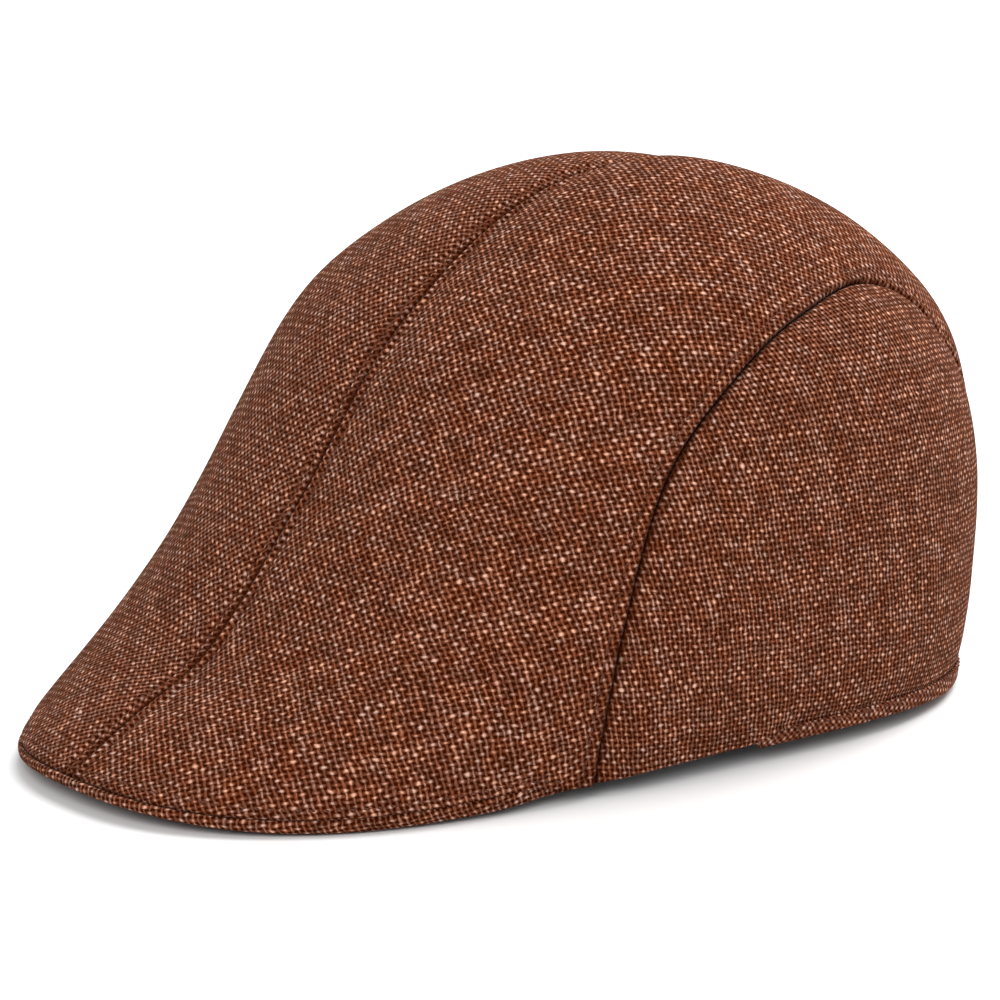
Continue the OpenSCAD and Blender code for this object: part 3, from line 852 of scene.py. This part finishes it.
# Directions of the two sets of yarns on each panel's flat shape, and the distances between yarns
TOP_YARNS, TOP_PITCH = (51.5, 148.5), (1.60, 1.48)
SIDE_YARNS, SIDE_PITCH = (-9.0, 70.0), (1.32, 1.52)
top_cloth = Cloth(top_disk, TOP_YARNS, TOP_PITCH)
side_cloth = Cloth(side_disk, SIDE_YARNS, SIDE_PITCH)
lining_top_cloth = Cloth(partial(top_disk, lined=True), TOP_YARNS, TOP_PITCH)
lining_side_cloth = Cloth(partial(side_disk, opening=0.0), SIDE_YARNS, SIDE_PITCH)


def shell_thickness(at):
    """The shell is thicker at its edges, where it is turned under and the outer face rolls down."""
    nearest = np.minimum(np.minimum(at["first"], at["second"]), np.minimum(at["front"], at["back"]))
    return SHELL_T + 0.5 * (1 - smooth(nearest / 3))


def lining_thickness(at):
    return LINING_T + 0 * at["first"]


def make_panels(name, cloth, relief, cells, thickness, slot, flip, seeds, painted_shade=None):
    """Left and right panels of one outline, each with its own dents."""
    at = cloth.grid(*cells)
    for side, seed in zip(("left", "right"), seeds):
        soft, rolls = relief(at, seed)
        outer = raised(at["spot"], soft + rolls)
        inner = raised(at["spot"], soft - thickness(at))
        grain = cloth.grain(at, seed)
        piece = make_sheet(f"{name}_{side}_cloth", outer, inner, grain, slot, flip, mirror=side == "right")
        # painted shade along the seams and topstitching, kept as a point attribute that the cloth's material
        # reads
        if painted_shade:
            layer = piece.data.attributes.new("painted_shade", "FLOAT", "POINT")
            layer.data.foreach_set("value", np.tile(np.ravel(painted_shade(at)), 2))
        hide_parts(f"{name}_{side}")


make_panels(
    "top_panel", top_cloth, top_relief, (300, 90), shell_thickness, "shell_cloth", flip=True,
    seeds=(LEFT_SEED, RIGHT_SEED), painted_shade=top_painted_shade)
make_panels(
    "side_panel", side_cloth, side_relief, (180, 80), shell_thickness, "shell_cloth", flip=False,
    seeds=(37, 41), painted_shade=side_painted_shade)

# ---------- Bill ----------

LIP_SHARES = (0.97, 0.72, 0.45, 0.16)
UNDER_SHARES = (0.02, 0.15, 0.3, 0.45, 0.6, 0.75, 0.88, 1.0)
UNDER_YARNS = np.array([[1, 0.12], [-0.12, 1]])


def layer_point(angle, rise, depth):
    return raised(disk_at(angle, rise), -np.broadcast_to(depth, np.shape(angle)))


def tuck(angle):
    """Tuck of the underside behind the top panels: 0 along the lip, 1 at the bill's corners."""
    return smooth((off_front(angle) - TUCK_ANGLE) / TUCK_WIDTH)


def lip_point(angle, share):
    """Point of the underside's outer strip, at a share of the height of the lip's seam."""
    return layer_point(angle, share * lip_rise_at(angle) + EDGE_RISE * tuck(angle), RIM_DEPTH * tuck(angle))


def visor_outer(angle):
    rise = EDGE_RISE * tuck(angle)
    rim = layer_point(angle, rise, RIM_DEPTH)
    rim[..., 2] = cap_point(angle, rise)[..., 2]
    return rim


def visor_low(angle, u):
    """Underside of the bill, from its rim to its inner edge."""
    inner = layer_point(angle, visor_edge_rise(angle), VISOR_DEPTH)
    spot = mix(visor_outer(angle), inner, u)
    spot[..., 2] -= VISOR_SAG * np.sin(np.pi * u) * np.maximum(0, 1 - off_front(angle) / VISOR_ANGLE)
    return spot


def make_under_visor():
    angle = np.linspace(-VISOR_ANGLE, VISOR_ANGLE, 260)
    lip = [lip_point(angle, share) for share in LIP_SHARES]
    controls = np.stack(lip + [visor_low(angle, share) for share in UNDER_SHARES])
    profile = np.concatenate([
        np.linspace(0, 0.5, 8), np.linspace(0.58, 4.5, 34), np.linspace(4.75, len(controls) - 1, 40)])
    lines = spline(controls.reshape(len(controls), -1), profile)
    outer = lines.reshape(-1, *controls.shape[1:]).swapaxes(0, 1)
    inward = unit(np.cross(np.gradient(outer, axis=0), np.gradient(outer, axis=1)))
    flat = lengths_over(outer)
    down = flat[..., 1]
    drop = edge_roll(down, 0.8) + 0.25 * value_noise(flat, 22, 71) * smooth(down / 12)
    inner = outer + inward * UNDER_VISOR_T
    outer = outer - inward * drop[..., None]
    grain = seeded(flat @ (UNDER_YARNS / TOP_PITCH), 53)
    piece = make_sheet("under_visor_cloth", outer, inner, grain, "under_visor_cloth")
    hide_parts("under_visor")
    width, length, area = cut_size(flatten(outer[::6, ::4]))


make_under_visor()
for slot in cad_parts["visor_board"].material_slots:
    slot.material = MATERIALS["visor_board"]

# ---------- Hem binding ----------

# Section of the folded strip: rise, and how far it stands proud of the shell. A crease closes its top.
BINDING_SECTION = np.array([
    [0.90, 0.05], [1.0, 0.2], [1.0, 0.55], [0.82, 0.9], [0.55, 1.0], [0.28, 0.9], [0.1, 0.65]])
# Depth inside the shell and height over the table, round under the hem and up inside it
BINDING_UNDERSIDE = ((-0.2, 0.12), (0.7, 0.0), (1.8, 0.05), (2.6, 0.5), (2.3, 1.2), (1.0, 1.3))
BINDING_TAPER = 9  # degrees over which each end of the strip thins out
BINDING_TUCK = 1.2  # how far the ends of the strip are drawn up to the edge of the panels
BINDING_LOW = 0.5  # share of its rise that the strip keeps at its ends
BINDING_THIN = 0.12  # share of its thickness that it keeps there
BINDING_DENT, BINDING_DENT_SIZE = 0.16, 5
BINDING_YARNS = np.array([[0.8, 0.6], [-0.6, 0.8]])


def make_hem_binding():
    angle = np.linspace(BINDING_ANGLE, 360 - BINDING_ANGLE, 420)
    swell = mix(BINDING_THIN, 1, smooth((180 - BINDING_ANGLE - np.abs(angle - 180)) / BINDING_TAPER))
    along = np.stack([angle, 0 * angle], -1)
    outside = []
    for k, (rise, proud) in enumerate(BINDING_SECTION):
        dent = BINDING_DENT * value_noise(along + [0, 3 * k], BINDING_DENT_SIZE, 61) * (proud > 0.5)
        rises = np.full_like(angle, rise * BINDING_RISE) * mix(BINDING_LOW, 1, swell)
        outside.append(layer_point(angle, rises, -swell * (proud + dent)))
    rim = cap_point(angle, 0)
    floor_z = np.maximum(0, rim[:, 2])
    underside = []
    for depth, lift in BINDING_UNDERSIDE:
        spot = layer_point(angle, 0 * angle, depth)
        spot[:, 2] = floor_z + lift + BINDING_TUCK * (1 - swell)
        underside.append(spot)
    inside = [layer_point(angle, np.full_like(angle, rise), -0.02) for rise in (0.012, 0.02)]
    controls = np.stack(outside + underside + inside)
    closed = np.concatenate([controls[-1:], controls, controls[:2]])
    steps = np.arange(0, len(controls), 0.25)
    start = steps.astype(int)
    ring = sum(w[:, None, None] * closed[start + k] for k, w in enumerate(curve_weights(steps - start)))
    ring = ring.swapaxes(0, 1)
    rows, cols = ring.shape[:2]
    index = np.arange(rows * cols).reshape(rows, cols)
    ahead = np.roll(index, -1, axis=1)
    skin = np.stack([index[:-1], index[1:], ahead[1:], ahead[:-1]], -1).reshape(-1, 4)
    hubs = ring[[0, -1]].mean(1)
    hub = rows * cols
    first = [[hub, a, b] for a, b in zip(index[0], ahead[0])]
    last = [[hub + 1, b, a] for a, b in zip(index[-1], ahead[-1])]
    flat = lengths_over(ring)
    grain = seeded(flat @ (BINDING_YARNS / SIDE_PITCH), 67).reshape(-1, 3)
    grain = np.concatenate([grain, grain[[0, (rows - 1) * cols]]])
    vertices = np.concatenate([ring.reshape(-1, 3), hubs])
    faces = [*skin[:, ::-1], *first, *last]
    piece = new_piece("hem_binding_cloth", vertices, faces, grain, "hem_cloth")
    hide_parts("hem_binding")


make_hem_binding()

# ---------- Inside ----------

make_panels(
    "lining_top", lining_top_cloth, lining_top_relief, (150, 40), lining_thickness, "lining", flip=True,
    seeds=(73, 79))
make_panels(
    "lining_side", lining_side_cloth, lining_side_relief, (90, 30), lining_thickness, "lining", flip=False,
    seeds=(83, 89))


BAND_START = 0.014  # how far the sweatband's lower edge lies above the edge of the bill and of the hem


def band_low(angle):
    return visor_edge_rise(angle) + BAND_START


def band_high(angle):
    return band_low(angle) + mix(BAND_RISE_FRONT, BAND_RISE_SIDE, smooth(off_front(angle) / 60))


def make_band(name, angles, low, high, depth, thickness, cells, slot, wave):
    """Strip of tape round the inside between two rises, which waves in and out over its flat shape."""
    angle = np.linspace(*angles, cells[0])[:, None]
    rise = mix(low(angle), high(angle), np.linspace(0, 1, cells[1])[None, :])
    spot = disk_at(np.broadcast_to(angle, rise.shape), rise)
    flat = lengths_over(on_disk(spot))
    edge = np.minimum(flat[..., 1], flat[:, -1:, 1] - flat[..., 1])
    rounded = 0.3 * (1 - smooth(edge / 0.8))
    lean = depth + wave(flat)
    piece = make_sheet(
        f"{name}_cloth", raised(spot, -lean - rounded), raised(spot, -lean - thickness + rounded),
        seeded(flat, len(name)), slot)
    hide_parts(name)


def constant(number):
    return lambda angle: np.full_like(angle, number)


def uneven(height, scale, seed):
    return lambda flat: height * value_noise(flat, scale, seed)


LABEL_DEPTH, LABEL_T = LINING_DEPTH + LINING_T + 0.2, 0.4
LABEL_LOW = constant(0.18)
ELASTIC_START = ELASTIC_ANGLE + 0.4
ELASTIC_GATHER, ELASTIC_WAVE = 0.3, 2.4
make_band(
    "sweatband", (-ELASTIC_ANGLE, ELASTIC_ANGLE), band_low, band_high, BAND_DEPTH, SWEATBAND_T, (360, 22),
    "sweatband", uneven(0.25, 18, 97))
make_band(
    "back_elastic", (ELASTIC_START, 360 - ELASTIC_START), band_low,
    lambda angle: band_low(angle) + BAND_RISE_SIDE * 0.8, BAND_DEPTH, SWEATBAND_T, (120, 22), "elastic",
    lambda flat: ELASTIC_GATHER * np.sin(flat[..., 0] * 2 * np.pi / ELASTIC_WAVE))
make_band(
    "size_label", (175, 185), LABEL_LOW, constant(0.3), LABEL_DEPTH, LABEL_T, (24, 28), "label",
    uneven(0.2, 9, 101))
make_band(
    "care_label", (214, 226), LABEL_LOW, constant(0.4), LABEL_DEPTH, LABEL_T, (26, 40), "label",
    uneven(0.2, 9, 103))

# ---------- Stitching ----------

STITCH_PITCH = 3.4
STITCH_SHARE = 0.62


def stitch_ends(length):
    """Where stitches start and end along a seam of a given length."""
    starts = np.arange(STITCH_PITCH, length - STITCH_PITCH, STITCH_PITCH)
    return np.stack([starts, starts + STITCH_PITCH * STITCH_SHARE], 1).ravel()


def panel_row(cloth, relief, seed, along, from_first, distance):
    """Points and directions of a row that keeps its distance from one edge of a panel."""
    u = np.interp(along, cloth.run, cloth.FINE)
    across = distance if from_first else cloth.lines(u)[:, -1] - distance
    at = cloth.place(u, np.broadcast_to(across, u.shape)[:, None])
    return raised(at["spot"], sum(relief(at, seed)))[:, 0], outward(at["spot"])[:, 0]


def sew(name, points, normals, slot, mirror=False):
    flip = np.array([-1 if mirror else 1, 1, 1])
    points, normals = points * flip, normals * flip
    piece = make_stitches(f"{name}_thread", points[0::2], points[1::2], normals[0::2], slot)
    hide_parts(name)


PANEL_ROWS = (("centre_seam_stitch", True, CENTRE_STITCH), ("side_seam_stitch", False, SIDE_STITCH))
for side, seed in (("left", LEFT_SEED), ("right", RIGHT_SEED)):
    marks = stitch_ends(top_cloth.run[-1] - 8)
    for name, from_first, distance in PANEL_ROWS:
        points, normals = panel_row(top_cloth, top_relief, seed, marks, from_first, distance)
        sew(f"{name}_{side}", points, normals, "thread", mirror=side == "right")


def lip_row(seed, flip):
    """The row along the lip on one half of the bill, from the centre seam outwards."""
    u = np.interp([LIP_STITCH], top_cloth.run, top_cloth.FINE)
    at = top_cloth.place(u, stitch_ends(top_cloth.lines(u)[0, -1] - 6)[None, :])
    points = raised(at["spot"], sum(top_relief(at, seed)))[0]
    return points * [flip, 1, 1], outward(at["spot"])[0] * [flip, 1, 1]


halves = [lip_row(LEFT_SEED, 1), lip_row(RIGHT_SEED, -1)]
sew("visor_edge_stitch", *(np.concatenate(both) for both in zip(*halves)), "thread")


def edge_row(name, angles, rise, depth, slot):
    """Row round the cap at a depth: on the cap's outside where it is negative, else facing inwards."""
    fine = np.linspace(*angles, 600)
    length = run_length(layer_point(fine, rise(fine), depth))
    angle = np.interp(stitch_ends(length[-1]), length, fine)
    normals = outward(disk_at(angle, rise(angle))) * -np.sign(depth)
    sew(name, layer_point(angle, rise(angle), depth), normals, slot)


edge_row(
    "hem_stitch", (BINDING_ANGLE + 5, 355 - BINDING_ANGLE), constant(BINDING_RISE * 0.84), -0.85, "thread")
edge_row(
    "sweatband_stitch", (1 - ELASTIC_ANGLE, ELASTIC_ANGLE - 1), lambda angle: band_low(angle) + 0.012,
    BAND_DEPTH + SWEATBAND_T, "inner_thread")
for name, angles in (("size_label_stitch", (176, 184)), ("care_label_stitch", (215, 225))):
    edge_row(name, angles, constant(0.25), LABEL_DEPTH + LABEL_T, "label_thread")

# ---------- Camera, floor and light ----------

AIM = Vector((0, 0, 60 * MM))
CAMERA_AZIMUTH, CAMERA_ELEVATION, CAMERA_ROLL = 52.76, 14.84, -0.677
CAMERA_DISTANCE = 1.33
FRAMING_RIGHT, FRAMING_UP = 2.7 * MM, -3.9 * MM
FOCAL_LENGTH, SENSOR = 183.5, 36.0


def from_angles(azimuth, elevation):
    """Unit vector towards a place round the object: azimuth 0 is in front of the bill, 90 at its left."""
    a, e = math.radians(azimuth), math.radians(elevation)
    return Vector((math.sin(a) * math.cos(e), -math.cos(a) * math.cos(e), math.sin(e)))


def aim(thing, target, roll=0.0):
    turn = (target - thing.location).to_track_quat("-Z", "Y")
    thing.rotation_euler = turn.to_euler()
    thing.rotation_euler.rotate_axis("Z", math.radians(roll))


camera = bpy.data.objects.new("camera", bpy.data.cameras.new("camera"))
bpy.context.scene.collection.objects.link(camera)
camera.data.lens = FOCAL_LENGTH
camera.data.sensor_width = SENSOR
camera.location = AIM + from_angles(CAMERA_AZIMUTH, CAMERA_ELEVATION) * CAMERA_DISTANCE
aim(camera, AIM, CAMERA_ROLL)
camera.location += camera.rotation_euler.to_matrix() @ Vector((FRAMING_RIGHT, FRAMING_UP, 0))
bpy.context.scene.camera = camera

FLOOR_HALF = 4.0
floor_mesh = bpy.data.meshes.new("floor")
corners = [(x * FLOOR_HALF, y * FLOOR_HALF, 0) for x, y in ((-1, -1), (1, -1), (1, 1), (-1, 1))]
floor_mesh.from_pydata(corners, [], [(0, 1, 2, 3)])
floor = bpy.data.objects.new("floor", floor_mesh)
bpy.context.scene.collection.objects.link(floor)
floor_paint = Graph("floor")
cloud = floor_paint.noise(floor_paint.place(), scale=3.0)
floor_grey = floor_paint.colour(cloud, (0.86,) * 3, (0.87,) * 3)
floor_mesh.materials.append(floor_paint.finish(floor_grey, 0.9, specular=0.1))

# Azimuth, elevation, distance, size and power of each light
LIGHTS = {
    "key": (40, 33, 1.7, 1.0, 16.5), "fill": (105, 15, 1.8, 1.4, 5),
    "overhead": (180, 68, 2.0, 2.0, 42), "rim": (195, 26, 1.8, 1.0, 20)}
for name, (azimuth, elevation, distance, size, power) in LIGHTS.items():
    light = bpy.data.lights.new(name, "AREA")
    light.shape = "DISK"
    light.size = size
    light.energy = power
    holder = bpy.data.objects.new(name, light)
    bpy.context.scene.collection.objects.link(holder)
    holder.location = AIM + from_angles(azimuth, elevation) * distance
    aim(holder, AIM)
world = bpy.data.worlds.new("studio")
bpy.context.scene.world = world
world.use_nodes = True
sky = world.node_tree.nodes["Background"]
sky.inputs["Color"].default_value = (1, 1, 1, 1)
sky.inputs["Strength"].default_value = 0.45
bpy.context.scene.view_settings.view_transform = "Standard"
